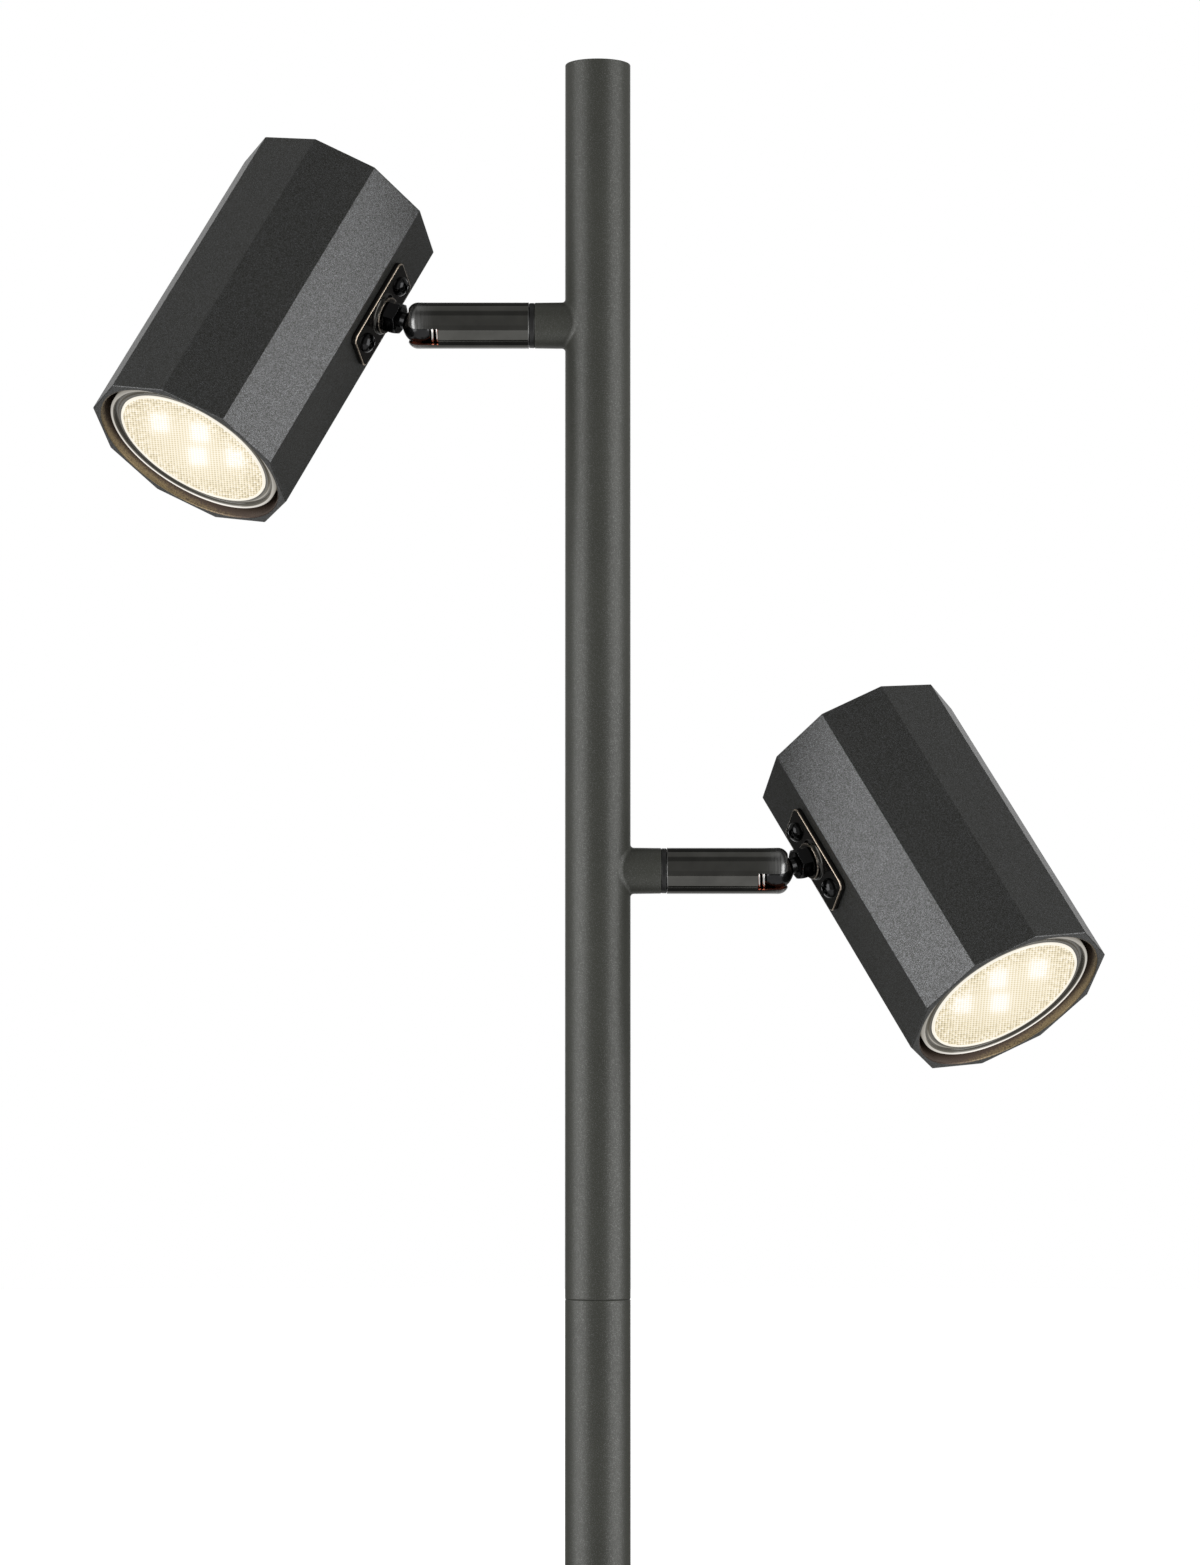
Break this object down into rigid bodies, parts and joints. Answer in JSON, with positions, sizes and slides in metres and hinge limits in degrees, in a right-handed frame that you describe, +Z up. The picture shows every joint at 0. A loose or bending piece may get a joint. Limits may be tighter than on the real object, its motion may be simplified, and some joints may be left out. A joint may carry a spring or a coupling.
{
  "type": "floor lamp",
  "caption": "Floor lamp with a round weighted base, a screwed sectional pole and faceted spotlight heads on short turning arms with slotted ball joints.",
  "frame": {"origin": "on the floor at the axis of the pole, under the middle of the base", "axes": "+Z up the pole, -X towards the upper arm, +X towards the lower arm, -Y towards the viewer"},
  "size_m": [0.2775, 0.232, 1.386],
  "materials": {
    "pole_paint": "satin",
    "base_paint": "satin",
    "head_paint": "satin",
    "dark_chrome": "polished",
    "bracket_metal": "satin",
    "black_steel": "satin",
    "zinc_steel": "satin",
    "spring_steel": "gloss",
    "brass": "satin",
    "black_plastic": "satin",
    "ceramic": "matte",
    "lamp_plastic": "gloss",
    "lens_glass": "gloss",
    "led_white": "matte",
    "iron": "matte",
    "foam_pad": "matte",
    "lead_sheath": "matte"
  },
  "bodies": {
    "stand": {"base_cover": "base_paint", "base_weight": "iron", "base_pad": "foam_pad", "base_stem": "zinc_steel", "base_washer": "zinc_steel", "base_nut": "zinc_steel", "cord_gland": "black_plastic", "pole_section_1": "pole_paint", "pole_section_2": "pole_paint", "pole_section_3": "pole_paint", "pole_section_4": "pole_paint", "foot_bush": "brass", "joint_bushes": "brass", "joint_nipples": "zinc_steel", "top_plug": "black_plastic", "pole_lead": "lead_sheath", "arm_sleeve_upper": "pole_paint", "swivel_washer_upper": "black_plastic", "arm_nipple_upper": "zinc_steel", "arm_nut_upper": "zinc_steel", "arm_sleeve_lower": "pole_paint", "swivel_washer_lower": "black_plastic", "arm_nipple_lower": "zinc_steel", "arm_nut_lower": "zinc_steel"},
    "upper_arm": {"arm_bush_upper": "brass", "socket_arm_upper": "dark_chrome", "spring_seat_upper": "brass", "joint_spring_upper": "spring_steel"},
    "upper_stud": {"ball_stud_upper": "black_steel", "lock_nut_upper": "black_steel", "stud_nut_upper": "zinc_steel"},
    "upper_head": {"head_bracket_upper": "bracket_metal", "bracket_screws_upper": "black_steel", "head_shell_upper": "head_paint", "holder_bridge_upper": "zinc_steel", "holder_screws_upper": "zinc_steel", "lampholder_upper": "ceramic", "lamp_housing_upper": "lamp_plastic", "lamp_pins_upper": "brass", "led_board_upper": "led_white", "lamp_lens_upper": "lens_glass", "head_leads_upper": "lead_sheath"},
    "lower_arm": {"arm_bush_lower": "brass", "socket_arm_lower": "dark_chrome", "spring_seat_lower": "brass", "joint_spring_lower": "spring_steel"},
    "lower_stud": {"ball_stud_lower": "black_steel", "lock_nut_lower": "black_steel", "stud_nut_lower": "zinc_steel"},
    "lower_head": {"head_bracket_lower": "bracket_metal", "bracket_screws_lower": "black_steel", "head_shell_lower": "head_paint", "holder_bridge_lower": "zinc_steel", "holder_screws_lower": "zinc_steel", "lampholder_lower": "ceramic", "lamp_housing_lower": "lamp_plastic", "lamp_pins_lower": "brass", "led_board_lower": "led_white", "lamp_lens_lower": "lens_glass", "head_leads_lower": "lead_sheath"}
  },
  "joints": [
    {"name": "upper_arm_turn", "type": "hinge", "parent": "stand", "child": "upper_arm", "pos_m": [-0.0486, 0, 1.3136], "axis": [-1, 0, 0], "range_deg": [-170, 170]},
    {"name": "upper_head_tilt", "type": "hinge", "parent": "upper_arm", "child": "upper_stud", "pos_m": [-0.0486, 0, 1.3136], "axis": [0, -0.6613, 0.7501], "range_deg": [0, 75]},
    {"name": "upper_head_turn", "type": "hinge", "parent": "upper_stud", "child": "upper_head", "pos_m": [-0.0486, 0, 1.3136], "axis": [-0.8829, 0.3522, 0.3105], "range_deg": [-170, 170]},
    {"name": "lower_arm_turn", "type": "hinge", "parent": "stand", "child": "lower_arm", "pos_m": [0.0486, 0, 1.163], "axis": [1, 0, 0], "range_deg": [-170, 170]},
    {"name": "lower_head_tilt", "type": "hinge", "parent": "lower_arm", "child": "lower_stud", "pos_m": [0.0486, 0, 1.163], "axis": [0, 0.5678, -0.8231], "range_deg": [0, 75]},
    {"name": "lower_head_turn", "type": "hinge", "parent": "lower_stud", "child": "lower_head", "pos_m": [0.0486, 0, 1.163], "axis": [0.8829, 0.3864, 0.2666], "range_deg": [-170, 170]}
  ]
}
